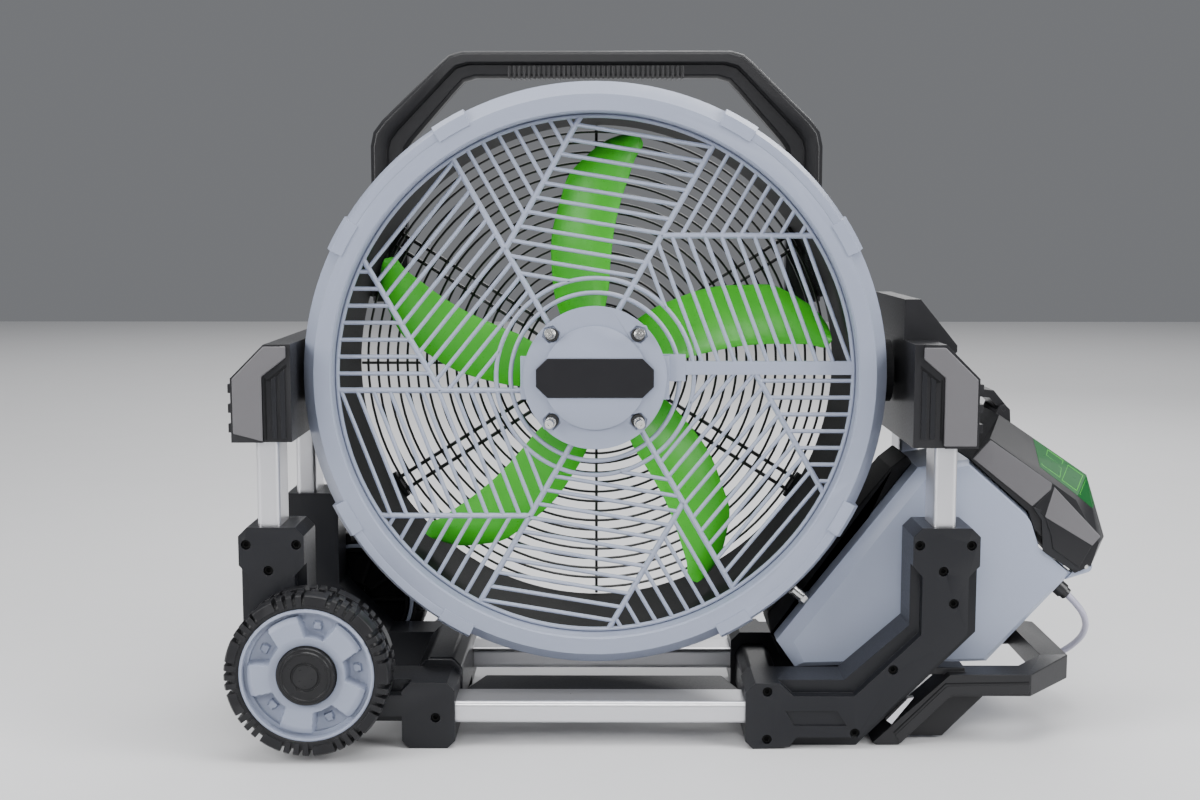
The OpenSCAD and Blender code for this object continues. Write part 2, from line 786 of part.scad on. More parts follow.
module carry_handle() {
    color("#1f1f22") in_head() {
        translate([0, 0, -114]) linear_extrude(30) difference() {
            polygon(carry_outer);
            polygon(carry_inner);
        }
        for (a = [16, 154]) rotate([0, 0, a]) rotate_extrude(angle = 10, $fn = 180)
            translate([237, -85]) square([14, 11]);
    }
}
module trunnion(side, face_x, pin_x) {
    color("#303034") difference() {
        union() {
            rod_x(0, axis_z, 60, min(side * 236, face_x), max(side * 236, face_x));
            rod_x(0, axis_z, pivot_d, min(side * 250, pin_x), max(side * 250, pin_x));
        }
        in_head() translate([0, 0, -60]) cylinder(r = 244, h = 120, $fn = 180);
    }
}
module head_screws() {
    color("dimgray") in_head() for (k = [0:7]) rotate([0, 0, 22.5 + 45 * k])
        translate([0, 253, 53]) cylinder(d = 7, h = 3);
}

// ---------- rotor ----------
// Blade stations: radius, leading angle and trailing angle, clockwise from the blade's middle
blade_stations = [
    [58, -34, 8], [80, -29.5, 9], [104, -24, 7.8], [137, -18, 7.5], [166, -12, 8.5],
    [189, -8, 9.7], [206, -2.6, 10.5], [220, 2.2, 11.8], [blade_r, 6.8, 10.4]
];
blade_mid = 12;
function blade_rise(r) = 17 - 9 * (r - 58) / 170;
blade_steps = 6;
blade_skin = 2.4;
function blade_point(s, u, up) =
    let (a = s[1] + (s[2] - s[1]) * u, z = blade_mid + blade_rise(s[0]) * (2 * u - 1)
        + 3 * sin(180 * u))
    [s[0] * sin(a), s[0] * cos(a), z + up];
module blade() {
    n = blade_steps + 1;
    rows = len(blade_stations);
    top = [for (s = blade_stations, i = [0:blade_steps]) blade_point(s, i / blade_steps, blade_skin)];
    low = [for (s = blade_stations, i = [0:blade_steps]) blade_point(s, i / blade_steps, 0)];
    base = rows * n;
    quads = [for (j = [0:rows - 2], i = [0:blade_steps - 1]) [j * n + i, (j + 1) * n + i,
        (j + 1) * n + i + 1, j * n + i + 1]];
    faces_top = [for (q = quads) each [[q[0], q[1], q[2]], [q[0], q[2], q[3]]]];
    faces_low = [for (f = faces_top) [base + f[2], base + f[1], base + f[0]]];
    edge = concat(
        [for (i = [0:blade_steps]) i],
        [for (j = [1:rows - 1]) j * n + blade_steps],
        [for (i = [blade_steps - 1:-1:0]) (rows - 1) * n + i],
        [for (j = [rows - 2:-1:1]) j * n]
    );
    m = len(edge);
    rim = [for (i = [0:m - 1]) let (a = edge[i], b = edge[(i + 1) % m])
        each [[a, b, base + b], [a, base + b, base + a]]];
    polyhedron(concat(top, low), concat(faces_top, faces_low, rim));
}
module fan_blades() {
    color("#55b73e") in_head() difference() {
        union() {
            for (k = [0:blade_count - 1]) rotate([0, 0, -360 / blade_count * k]) blade();
            translate([0, 0, -14]) cylinder(r = 61, h = 50);
        }
        translate([0, 0, -15]) difference() {
            cylinder(r = 56, h = 46);
            translate([0, 0, -1]) cylinder(r = 14, h = 50);
        }
        translate([0, 0, -20]) cylinder(d = shaft_d, h = 70);
    }
}
module rotor_shaft() {
    color("lightgray") in_head() {
        translate([0, 0, -64]) cylinder(d = shaft_d, h = 106);
        translate([0, 0, 36]) cylinder(d = 20, h = 7, $fn = 6);
    }
}

in_place() front_bottom_tube();
in_place() rear_bottom_tube();
in_place() upright(left_x);  // front_left_upright
in_place() upright(right_x);  // front_right_upright
in_place() at_back() upright(left_x);  // rear_left_upright
in_place() at_back() upright(right_x);  // rear_right_upright
in_place() front_left_casting();
in_place() front_right_casting();
in_place() at_back() front_left_casting();  // rear_left_casting
in_place() at_back() front_right_casting();  // rear_right_casting
in_place() left_cross_member();
in_place() right_cross_member();
in_place() lower_brace();
in_place() left_bracket();
in_place() right_bracket();
in_place() left_cap();  // front_left_cap
in_place() right_cap();  // front_right_cap
in_place() at_back() left_cap();  // rear_left_cap
in_place() at_back() right_cap();  // rear_right_cap
in_place() pivot_housing();
in_place() pull_handle();
in_place() wheel_axle();
in_place() frame_screws();
in_place() pump_box();
in_place() box_liner();
in_place() lid_hinge_pin();
in_place() battery_pack();
in_place() battery_terminals();
in_place() pump();
in_place() outlet_connector();
in_place() hose_fittings();
in_place() hose();
in_place() battery_lid();
in_place() lid_window();
in_place() lid_latch();
in_place() speed_dial();
in_place() power_button();
in_place() front_ring();
in_place() front_grille();
in_place() hub_cap();
in_place() hub_badge();
in_place() mist_nozzles();
in_place() nozzle_seals();
in_place() mist_tube();
in_place() drum();
in_place() rear_guard();
in_place() guard_clips();
in_place() motor_housing();
in_place() carry_handle();
in_place() trunnion(-1, -271.5, -304);  // left_trunnion
in_place() trunnion(1, 285.4, 320);  // right_trunnion
in_place() head_screws();
in_place() fan_blades();
in_place() rotor_shaft();
in_place() wheel_rim();  // front_wheel_rim
in_place() wheel_tyre();  // front_wheel_tyre
in_place() wheel_cap();  // front_wheel_cap
in_place() at_back() wheel_rim();  // rear_wheel_rim
in_place() at_back() wheel_tyre();  // rear_wheel_tyre
in_place() at_back() wheel_cap();  // rear_wheel_cap
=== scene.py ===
"""Looks of the misting floor fan: a round tilting head in a wheeled tube frame with its battery box.

X points to the fan's right, Y to the back and Z up, in metres. The CAD nodes give the shapes that
move, and the pieces made here add the round wires, threads, ribs and soft edges around them.
"""
import json
import math
import bmesh
import bpy
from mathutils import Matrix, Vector


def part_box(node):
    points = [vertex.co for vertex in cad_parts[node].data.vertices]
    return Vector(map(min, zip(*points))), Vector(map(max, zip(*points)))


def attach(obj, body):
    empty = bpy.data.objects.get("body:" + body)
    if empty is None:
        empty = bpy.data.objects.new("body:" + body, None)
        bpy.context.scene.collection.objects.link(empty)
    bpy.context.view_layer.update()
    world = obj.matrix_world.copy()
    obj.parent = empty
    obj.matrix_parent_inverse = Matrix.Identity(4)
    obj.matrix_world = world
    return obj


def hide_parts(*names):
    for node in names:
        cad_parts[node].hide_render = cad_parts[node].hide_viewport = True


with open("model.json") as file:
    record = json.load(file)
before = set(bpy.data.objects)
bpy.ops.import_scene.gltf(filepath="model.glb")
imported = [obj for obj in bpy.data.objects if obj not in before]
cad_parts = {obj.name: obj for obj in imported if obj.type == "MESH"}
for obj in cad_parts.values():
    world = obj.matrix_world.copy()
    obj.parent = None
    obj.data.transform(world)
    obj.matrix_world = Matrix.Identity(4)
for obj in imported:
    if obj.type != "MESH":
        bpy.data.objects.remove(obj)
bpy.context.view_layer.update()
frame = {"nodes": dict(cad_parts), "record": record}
nodes = frame["nodes"]


def middle(node):
    low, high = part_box(node)
    return (low + high) / 2


# Driving places, all taken from the frame
AXIS = Vector((middle("rotor_shaft").x, 0, middle("rotor_shaft").z))
MM = 0.001


# ---------- camera ----------
def make_camera():
    data = bpy.data.cameras.new("view_camera")
    data.lens = 46.95
    data.sensor_width = 36
    cam = bpy.data.objects.new("view_camera", data)
    cam.location = AXIS + Vector((0.014, -1.518, 0.1452))
    cam.rotation_euler = (math.radians(83.44), 0, math.radians(0.37))
    bpy.context.scene.collection.objects.link(cam)
    bpy.context.scene.camera = cam


# ---------- places ----------
def on_axis_x(p):
    """A place given in millimetres from the blade axis and the floor."""
    return Vector((AXIS.x + p[0] * MM, p[1] * MM, p[2] * MM))


def head(x, y, z):
    """A place on the head in millimetres: x right, y up and z to the front of the blade axis."""
    return Vector((AXIS.x + x * MM, -z * MM, AXIS.z + y * MM))


def beside(side):
    """Places on the frame's front (-1) or back (1) side: x, z, and y outward from the middle."""
    return lambda x, z, y: on_axis_x((x, side * y, z))


def wheel_place(node, side):
    """Places on a wheel: x and z from its axle, w from its outer face to the inner one."""
    low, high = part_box(node)
    centre = (low + high) / 2

    def at(x, z, w):
        y = centre.y + side * (TYRE_WIDE / 2 - w) * MM
        return Vector((centre.x + x * MM, y, centre.z + z * MM))

    return at


def clockwise(place):
    """The same places by the angle from the top in degrees, the radius and w."""

    def at(angle, r, w):
        a = math.radians(angle)
        return place(r * math.sin(a), r * math.cos(a), w)

    return at


# ---------- building blocks ----------
def smooth(points, steps):
    """A smooth curve through the points, as in the part's source."""
    last = len(points) - 1
    made = []
    for i in range(last):
        a, b, c, d = (points[min(max(i + k, 0), last)] for k in (-1, 0, 1, 2))
        for s in range(steps):
            u = s / steps
            made.append(0.5 * (2 * b + (c - a) * u + (2 * a - 5 * b + 4 * c - d) * u * u
                               + (3 * b - a - 3 * c + d) * u ** 3))
    return made + [points[-1]]


def length_of(points):
    return sum((b - a).length for a, b in zip(points, points[1:]))


class Shape:
    """Collects closed solids, which become one mesh."""

    def __init__(self):
        self.points = []
        self.faces = []

    def add(self, points, faces):
        base = len(self.points)
        self.points += points
        self.faces += [[base + i for i in face] for face in faces]

    def loft(self, loops, closed=False):
        """Joins loops of equal length. The first and last loop are capped unless the loft is closed."""
        count = len(loops[0])
        rows = len(loops)
        faces = []
        for r in range(rows if closed else rows - 1):
            a, b = r * count, (r + 1) % rows * count
            faces += [[a + i, a + (i + 1) % count, b + (i + 1) % count, b + i] for i in range(count)]
        if not closed:
            faces.append(list(range(count))[::-1])
            faces.append([(rows - 1) * count + i for i in range(count)])
        self.add([p for loop in loops for p in loop], faces)

    def tube(self, path, radius, sides=12, closed=False):
        loops = []
        side = None
        last = len(path) - 1
        for i, p in enumerate(path):
            before = path[i - 1] if i or closed else path[0]
            after = path[(i + 1) % len(path)] if i < last or closed else path[last]
            along = (after - before).normalized()
            if side is None:
                side = along.cross((0, 1, 0) if abs(along.y) < 0.8 else (1, 0, 0))
            side = (side - side.dot(along) * along).normalized()
            up = along.cross(side)
            loops.append([p + radius * (math.cos(t) * side + math.sin(t) * up)
                          for t in (2 * math.pi * k / sides for k in range(sides))])
        self.loft(loops, closed)

    def slab(self, outline, place, low, high):
        """An outline of (u, v) pairs, placed by place(u, v, w) from w = low to w = high."""
        self.loft([[place(u, v, w) for u, v in outline] for w in (low, high)])

    def piece(self, name, slot, body, replaces=(), bevel=0.0, angle=35, finish=None):
        mesh = bpy.data.meshes.new(name)
        mesh.from_pydata(self.points, [], self.faces)
        made = bpy.data.objects.new(name, mesh)
        bpy.context.scene.collection.objects.link(made)
        work = bmesh.new()
        work.from_mesh(mesh)
        bmesh.ops.recalc_face_normals(work, faces=work.faces)
        work.to_mesh(mesh)
        work.free()
        return dress(made, slot, body, replaces, bevel, angle, finish)


def dress(made, slot, body, replaces=(), bevel=0.0, angle=35, finish=None):
    """Gives a new piece its material, its rounded edges and its body."""
    mesh = made.data
    mesh.materials.clear()
    mesh.materials.append(MATERIALS[finish or slot])
    mesh.polygons.foreach_set("use_smooth", [True] * len(mesh.polygons))
    mesh.set_sharp_from_angle(angle=math.radians(angle))
    if bevel:
        soft = made.modifiers.new("edges", "BEVEL")
        soft.width = bevel * MM
        soft.segments = 2
        soft.limit_method = "ANGLE"
        soft.angle_limit = math.radians(angle)
        soft.harden_normals = True
    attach(made, body)
    if replaces:
        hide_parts(*replaces)
    return made


BODY_OF = {n: b for b, names in frame["record"]["behaviour"]["bodies"].items() for n in names}


def soften(node, width, angle=30):
    """A copy of a CAD node with joined faces and rounded edges, which stands for the node."""
    made = bpy.data.objects.new(node + "_soft", nodes[node].data.copy())
    bpy.context.scene.collection.objects.link(made)
    work = bmesh.new()
    work.from_mesh(made.data)
    bmesh.ops.remove_doubles(work, verts=work.verts, dist=0.02 * MM)
    bmesh.ops.dissolve_limit(work, angle_limit=math.radians(1), verts=work.verts, edges=work.edges)
    work.to_mesh(made.data)
    work.free()
    return dress(made, SLOTS[node], BODY_OF[node], [node], width, angle)


# ---------- hose ----------
HOSE_D = 6.5 * MM
HOSE_ROUTE = [
    (456.15, -30, 125.3), (459.8, -30, 122), (466, -29, 115.5), (473, -25, 107), (479, -17, 97),
    (484, -3, 85.5), (485.5, 14, 71.5), (482, 34, 56.5), (474, 54, 42), (461, 70, 29), (442, 77, 18),
    (420, 74, 10), (397, 64, 6), (375, 52, 8), (359, 43, 16), (350, 39, 28), (348.7, 38, 38),
    (348.6, 38, 45),
]


def make_hose():
    path = smooth([on_axis_x(p) for p in HOSE_ROUTE], 8)
    shape = Shape()
    shape.tube(path, HOSE_D / 2, 16)
    hose = shape.piece("water_hose", "hose_clear", "frame", ["hose"])
    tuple(path[0])
    length_of(path)


# ---------- materials ----------
def shader(name, base, rough, spread=0.06, grain=220.0, relief=0.12, wear=0.25, metallic=0.0,
           specular=0.5, coat=0.0, streak=None, bend=0.5):
    """A procedural surface: colour, gloss and relief vary, and the edges are rubbed a little."""
    mat = bpy.data.materials.new(name)
    mat.use_nodes = True
    tree = mat.node_tree
    tree.nodes.clear()
    link = tree.links.new

    def add(kind, **values):
        made = tree.nodes.new(kind)
        for key, value in values.items():
            if hasattr(made, key):
                setattr(made, key, value)
            else:
                made.inputs[key].default_value = value
        return made

    out = add("ShaderNodeOutputMaterial")
    body = add("ShaderNodeBsdfPrincipled")
    body.inputs["Metallic"].default_value = metallic
    body.inputs["Specular IOR Level"].default_value = specular
    body.inputs["Coat Weight"].default_value = coat
    link(body.outputs[0], out.inputs[0])
    place = add("ShaderNodeTexCoord")
    stretch = add("ShaderNodeMapping")
    stretch.inputs["Scale"].default_value = streak or (1, 1, 1)
    link(place.outputs["Object"], stretch.inputs["Vector"])
    broad = add("ShaderNodeTexNoise", Scale=9.0, Detail=4.0)
    fine = add("ShaderNodeTexNoise", Scale=grain, Detail=3.0)
    for noise in (broad, fine):
        link(stretch.outputs[0], noise.inputs["Vector"])

    tone = add("ShaderNodeMapRange")
    tone.inputs["To Min"].default_value = 1 - spread
    tone.inputs["To Max"].default_value = 1 + spread
    link(broad.outputs["Fac"], tone.inputs["Value"])
    shade = add("ShaderNodeVectorMath", operation="SCALE")
    shade.inputs[0].default_value = base
    link(tone.outputs[0], shade.inputs["Scale"])

    edges = add("ShaderNodeNewGeometry")
    rubbed = add("ShaderNodeMapRange")
    rubbed.inputs["From Min"].default_value = 0.53
    rubbed.inputs["From Max"].default_value = 0.62
    rubbed.inputs["To Max"].default_value = wear
    link(edges.outputs["Pointiness"], rubbed.inputs["Value"])
    worn = add("ShaderNodeMix", data_type="RGBA")
    link(rubbed.outputs[0], worn.inputs["Factor"])
    link(shade.outputs[0], worn.inputs["A"])
    worn.inputs["B"].default_value = (*[min(1.0, c * 1.5 + 0.06) for c in base], 1)
    link(worn.outputs["Result"], body.inputs["Base Color"])

    gloss = add("ShaderNodeMapRange")
    gloss.inputs["To Min"].default_value = max(0.04, rough - 0.08)
    gloss.inputs["To Max"].default_value = min(1.0, rough + 0.08)
    link(fine.outputs["Fac"], gloss.inputs["Value"])
    link(gloss.outputs[0], body.inputs["Roughness"])
    bump = add("ShaderNodeBump")
    bump.inputs["Strength"].default_value = relief
    bump.inputs["Distance"].default_value = 0.0004
    link(fine.outputs["Fac"], bump.inputs["Height"])
    link(bump.outputs[0], body.inputs["Normal"])
    if bend:
        round_edge = add("ShaderNodeBevel", samples=4)
        round_edge.inputs["Radius"].default_value = bend * MM
        link(round_edge.outputs[0], bump.inputs["Normal"])
    return mat


def make_materials():
    made = {
        "tube_aluminium": shader("tube_aluminium", (0.70, 0.70, 0.73), 0.32, 0.03, 260, 0.05, 0.1,
                                 metallic=0.85, streak=(1, 1, 0.2)),
        "casting_black": shader("casting_black", (0.0085, 0.009, 0.0115), 0.33, 0.10, 420, 0.14, 0.12,
                                specular=0.32),
        "cap_charcoal": shader("cap_charcoal", (0.012, 0.012, 0.014), 0.36, 0.10, 420, 0.14, 0.12,
                               specular=0.32),
        # A lighter copy of the charcoal plastic: painted sheen for the cap and lid panels that catch the
        # light.
        "panel_sheen_grey": shader("panel_sheen_grey", (0.115, 0.112, 0.119), 0.42, 0.08, 420, 0.12, 0.1,
                             specular=0.35),
        "handle_black": shader("handle_black", (0.012, 0.012, 0.0135), 0.34, 0.10, 420, 0.14, 0.12,
                               specular=0.35),
        "steel_bright": shader("steel_bright", (0.60, 0.60, 0.59), 0.25, 0.04, 300, 0.06, 0.1,
                               metallic=1.0),
        # Near-black and dull: painted shade of the recessed screw holes, put on the screws themselves.
        "screw_dark": shader("screw_dark", (0.0015, 0.0015, 0.0015), 0.7, 0.08, 400, 0.10, 0.1,
                             specular=0.1),
        "shell_grey": shader("shell_grey", (0.34, 0.38, 0.49), 0.34, 0.04, 500, 0.10, 0.15),
        "ring_grey": shader("ring_grey", (0.27, 0.30, 0.39), 0.36, 0.04, 500, 0.10, 0.15),
        # Near-black and dull: the colour of dark inner parts, and also painted shade for the wheel cap
        # gaps, the cap slots and the arm grooves.
        "inner_black": shader("inner_black", (0.005, 0.005, 0.006), 0.62, 0.10, 420, 0.14, 0.1,
                              specular=0.12),
        "wire_black": shader("wire_black", (0.006, 0.006, 0.0065), 0.30, 0.08, 420, 0.08, 0.15),
        "motor_metal": shader("motor_metal", (0.02, 0.02, 0.022), 0.42, 0.10, 300, 0.18, 0.25,
                              metallic=0.5),
        "battery_case": shader("battery_case", (0.010, 0.010, 0.012), 0.42, 0.10, 420, 0.14, 0.1,
                               specular=0.25),
        "badge_dark": shader("badge_dark", (0.009, 0.009, 0.011), 0.34, 0.06, 120, 0.0, 0.1,
                             specular=0.3),
        "seal_rubber": shader("seal_rubber", (0.010, 0.010, 0.010), 0.60, 0.10, 300, 0.2, 0.1),
        "fitting_black": shader("fitting_black", (0.014, 0.014, 0.016), 0.35, 0.10, 400, 0.1, 0.2),
        "hose_clear": shader("hose_clear", (0.42, 0.41, 0.52), 0.22, 0.05, 200, 0.05, 0.0),
        "window_green": shader("window_green", (0.002, 0.075, 0.014), 0.30, 0.35, 160, 0.04, 0.1,
                               specular=0.15),
        "accent_green": shader("accent_green", (0.07, 0.62, 0.03), 0.30, 0.04, 420, 0.04, 0.1,
                               specular=0.4),
        "tyre_black": shader("tyre_black", (0.0055, 0.0055, 0.007), 0.42, 0.15, 500, 0.25, 0.15,
                             specular=0.35),
        "wheel_cap_grey": shader("wheel_cap_grey", (0.007, 0.007, 0.008), 0.30, 0.08, 300, 0.05, 0.1,
                                 specular=0.35),
    }
    return made


def finish_node(name):
    """Gives a CAD node its slot's material."""
    nodes[name].data.materials.clear()
    nodes[name].data.materials.append(MATERIALS[SLOTS[name]])


SOFT_EDGES = {
    "front_left_casting": 1.6, "front_right_casting": 1.6, "rear_left_casting": 1.6,
    "rear_right_casting": 1.6, "left_cross_member": 3, "right_cross_member": 3, "lower_brace": 2,
    "left_bracket": 1.5, "right_bracket": 1.5, "front_left_cap": 1.2, "front_right_cap": 1.2,
    "rear_left_cap": 1.2, "rear_right_cap": 1.2, "pivot_housing": 2, "pull_handle": 5,
    "pump_box": 1.5, "box_liner": 2, "battery_pack": 2, "lid_latch": 1.2, "battery_lid": 1.2,
    "front_ring": 0.8, "hub_badge": 0.5, "hub_cap": 0.8,
}


# ---------- grille ----------
OPENING_R = 242
RIB_X = -12.5
BRANCH_Y = 144
SMALL_RINGS = (78.5, 92)
BRANCH_ANGLE = 60
SLANT_ANGLE = 129.3
UPRIGHT_PITCH = 18.2
SLANT_PITCH = 14.2
FIRST_SLANT = 226
BAR_Z, BAR_W, BAR_DEEP = 69.3, 3.9, 4.6
RIB_Z, RIB_W, RIB_DEEP = 69, 5.4, 6


def turn(p, degrees):
    """The point turned about the origin, counter-clockwise."""
    a = math.radians(degrees)
    return Vector((p[0] * math.cos(a) - p[1] * math.sin(a), p[0] * math.sin(a) + p[1] * math.cos(a)))


def leaves(p, d, r):
    """Where the line from p along d leaves the circle of radius r."""
    along = p.dot(d)
    return p + d * (math.sqrt(along * along - p.dot(p) + r * r) - along)


def round_bar(shape, p, q, width, deep, z, sides=10):
    """A bar of oval section from p to q on the head's face."""
    along = (q - p).normalized()
    side = Vector((-along.y, along.x))
    loops = []
    for end in (p, q):
        loops.append([])
        for k in range(sides):
            a = 2 * math.pi * k / sides
            flat = end + side * (width / 2 * math.cos(a))
            loops[-1].append(head(flat.x, flat.y, z + deep / 2 * math.sin(a)))
    shape.loft(loops)


def round_ring(shape, r, width, deep, z, sides=10, steps=120):
    """A ring of oval section about the blade axis."""
    loops = []
    for i in range(steps):
        t = 2 * math.pi * i / steps
        ring = []
        for k in range(sides):
            a = 2 * math.pi * k / sides
            at = r + width / 2 * math.cos(a)
            ring.append(head(at * math.cos(t), at * math.sin(t), z + deep / 2 * math.sin(a)))
        loops.append(ring)
    shape.loft(loops, closed=True)


def disc(shape, r, low, high, steps=96):
    outline = [(r * math.cos(2 * math.pi * i / steps), r * math.sin(2 * math.pi * i / steps))
               for i in range(steps)]
    shape.slab(outline, head, low, high)


def make_grille():
    """Six turned sectors of ribs and slanting bars, two small rings, and the wide bar to the hub."""
    shape = Shape()
    root = Vector((RIB_X, 60))
    foot = Vector((RIB_X, BRANCH_Y))
    up, branch, slant = (turn((0, 1), -a) for a in (0, BRANCH_ANGLE, SLANT_ANGLE))
    normal = turn(slant, 90)
    next_foot = turn((RIB_X, 0), -60)
    end_r = OPENING_R - 2
    for k in range(6):
        angle = 30 - 60 * k

        def put(p, q, width, deep, z):
            round_bar(shape, turn(p, angle), turn(q, angle), width, deep, z)

        put(root, leaves(root, up, end_r), RIB_W, RIB_DEEP, RIB_Z)
        put(foot, leaves(foot, branch, end_r), RIB_W, RIB_DEEP, RIB_Z)
        for i in range(1, 8):
            p = foot + branch * UPRIGHT_PITCH * i
            put(p, leaves(p, up, end_r), BAR_W, BAR_DEEP, BAR_Z)
        for j in range(11):
            c = FIRST_SLANT - SLANT_PITCH * j
            if c > normal.dot(foot):
                start = foot + branch * ((c - normal.dot(foot)) / normal.dot(branch))
            else:
                start = Vector((RIB_X, (c - RIB_X * normal.x) / normal.y))
            end = next_foot + branch * ((c - normal.dot(next_foot)) / normal.dot(branch))
            for a, b in outside_circle(start, end, SMALL_RINGS[1]):
                put(a, b, BAR_W, BAR_DEEP, BAR_Z)
    for r in SMALL_RINGS:
        round_ring(shape, r, BAR_W + 0.4, BAR_DEEP, BAR_Z)
    round_ring(shape, OPENING_R - 2, 4.4, 6.4, 69, steps=180)
    disc(shape, 65, 66, 72)
    wide = [(60, 2.5), (239, 2.5), (239, 15), (60, 15)]
    shape.slab(wide, head, 66.4, 72)
    shape.slab([(60, -3.5), (84, -3.5), (84, 21.5), (60, 21.5)], head, 66.2, 72.2)
    shape.piece("grille_bars", "ring_grey", "head", ["front_grille"])


def outside_circle(p, q, r):
    """The parts of the line from p to q that lie outside the circle."""
    d = q - p
    a, b, c = d.dot(d), 2 * p.dot(d), p.dot(p) - r * r
    under = b * b - 4 * a * c
    if under <= 0:
        return [(p, q)]
    t0, t1 = ((-b - math.sqrt(under)) / (2 * a), (-b + math.sqrt(under)) / (2 * a))
    parts = []
    if t0 > 0:
        parts.append((p, p + d * min(t0, 1)))
    if t1 < 1:
        parts.append((p + d * max(t1, 0), q))
    return parts


# ---------- blades ----------
# Radius, leading angle and trailing angle of each station, clockwise from the blade's middle
STATIONS = [
    (58, -34, 8), (80, -29.5, 9), (104, -24, 7.8), (137, -18, 7.5), (166, -12, 8.5),
    (189, -8, 9.7), (206, -2.6, 10.5), (220, 2.2, 11.8), (228.5, 6.8, 10.4),
]
BLADE_MID = 12
BLADE_ROWS = 14
BOSS_R = 61
SLEEVE_R = 14


def blade_loop(r, lead, trail, blade):
    """One closed section of a blade, front side first."""
    rise = 17 - 9 * (r - 58) / 170
    loop = []
    for side in (1, -1):
        steps = range(BLADE_ROWS + 1) if side > 0 else range(BLADE_ROWS - 1, 0, -1)
        for i in steps:
            u = i / BLADE_ROWS
            a = math.radians(lead + (trail - lead) * u + 72 * blade)
            thick = 0.25 + 1.15 * math.sqrt(max(0, 1 - (2 * u - 1) ** 4))
            z = BLADE_MID + 1.2 + rise * (2 * u - 1) + 3 * math.sin(math.pi * u) + side * thick
            loop.append(head(r * math.sin(a), r * math.cos(a), z))
    return loop


def make_blades():
    """Five swept blades on a cup-shaped boss with a sleeve for the shaft."""
    shape = Shape()
    rows = smooth([Vector(s) for s in STATIONS], 6)
    for blade in range(5):
        shape.loft([blade_loop(*row, blade) for row in rows])
    disc(shape, BOSS_R, 30, 36)
    steps = 72
    for r in (BOSS_R, SLEEVE_R):
        section = ((r - 5, -14), (r, -14), (r, 31), (r - 5, 31))
        turns = [2 * math.pi * i / steps for i in range(steps)]
        shape.loft([[head(a * math.cos(t), a * math.sin(t), z) for a, z in section] for t in turns],
                   closed=True)
    shape.piece("blade_wheel", "accent_green", "rotor", ["fan_blades"])


# ---------- rear guard ----------
WIRE_D = 2.6
GUARD_HUB_R = 56
GUARD_EDGE_R = 240


def make_rear_guard():
    """Rings of wire on four single spokes and four pairs."""
    shape = Shape()
    for r in range(72, 237, 10):
        round_ring(shape, r + WIRE_D / 2, WIRE_D, WIRE_D, -75.7, 8, 96)
    round_ring(shape, GUARD_HUB_R, 12, 4, -78, 8, 96)
    for a in (0, 90, 180, 270):
        ends = [head(*turn((r, 0), a), -78.1) for r in (GUARD_HUB_R, GUARD_EDGE_R)]
        shape.tube(ends, 1.5 * MM, 8)
    for a in (58, 122, 238, 302):
        for x in (-7, 7):
            ends = [head(*turn((x, y), -a), -78.6) for y in (GUARD_HUB_R - 2, GUARD_EDGE_R + 3)]
            shape.tube(ends, 2 * MM, 8)
    shape.piece("guard_wires", "wire_black", "head", ["rear_guard"])


# ---------- wheels ----------
TYRE_R = 74.3
TYRE_WIDE = 42
RIM_R = 60.7
TYRE_SECTION = [
    (RIM_R, 2.5), (63, 1.2), (66.5, 1.8), (69.6, 5), (70.6, 12), (70.6, 30), (69.6, 37),
    (66.5, 40.2), (63, 40.8), (RIM_R, 39.5),
]
LUG_GROUPS = 9
LUG_LONG = 13
# Start and sweep in degrees of the lugs in one group: a broad one and three narrow ones
LUGS = [(0, 16), (19.5, 4.2), (26.5, 4.2), (33.5, 4.2)]


def make_tyre(name, body, node, side):
    """A tyre with two rows of shoulder lugs and a row of blocks on its crown."""
    at = clockwise(wheel_place(node, side))
    shape = Shape()
    shape.loft([[at(a, r, w) for r, w in TYRE_SECTION] for a in range(0, 360, 3)], closed=True)

    def block(start, sweep, section):
        steps = max(1, round(sweep / 4))
        shape.loft([[at(start + sweep * i / steps, r, w) for r, w in section]
                    for i in range(steps + 1)])

    group = 360 / LUG_GROUPS
    for k in range(LUG_GROUPS):
        for edge, inward, turned in ((0, 1, 0), (TYRE_WIDE, -1, group / 2)):
            for n, (start, sweep) in enumerate(LUGS):
                foot = 62.8 if n else 64.6
                reach = edge + inward * (LUG_LONG if n % 2 else LUG_LONG + 3)
                block(group * k + turned + start, sweep, [
                    (foot, edge), (TYRE_R - 1.8, edge), (TYRE_R, edge + 2.4 * inward),
                    (TYRE_R, reach), (69, reach), (foot, edge + 3 * inward)])
        for n in range(4):
            top = TYRE_R - 0.4
            block(group * k + 10 * n + 2, 5,
                  [(69, 17), (top - 1.6, 17), (top, 19.2), (top, 25), (69, 25)])
    shape.piece(name, "tyre_black", body, [node], bevel=0.35, angle=40)


def make_wheel_back(name, body, node, side):
    """The dark ribbed dish on the inner side of a wheel."""
    at = wheel_place(node, side)
    shape = Shape()
    hub, dish, half_rib = 17, 52, 1.5
    section = [(54.6, 29.8), (54.6, 41), (52.5, 41), (50, 31.5), (hub, 31.5), (hub, 29.8)]
    loops = []
    for i in range(72):
        c, s = math.cos(math.radians(5 * i)), math.sin(math.radians(5 * i))
        loops.append([at(r * c, r * s, w) for r, w in section])
    shape.loft(loops, closed=True)
    for k in range(10):
        corners = ((hub, half_rib), (dish, half_rib), (dish, -half_rib), (hub, -half_rib))
        shape.slab([turn(corner, 36 * k) for corner in corners], at, 31, 39)
    shape.piece(name, "inner_black", body)


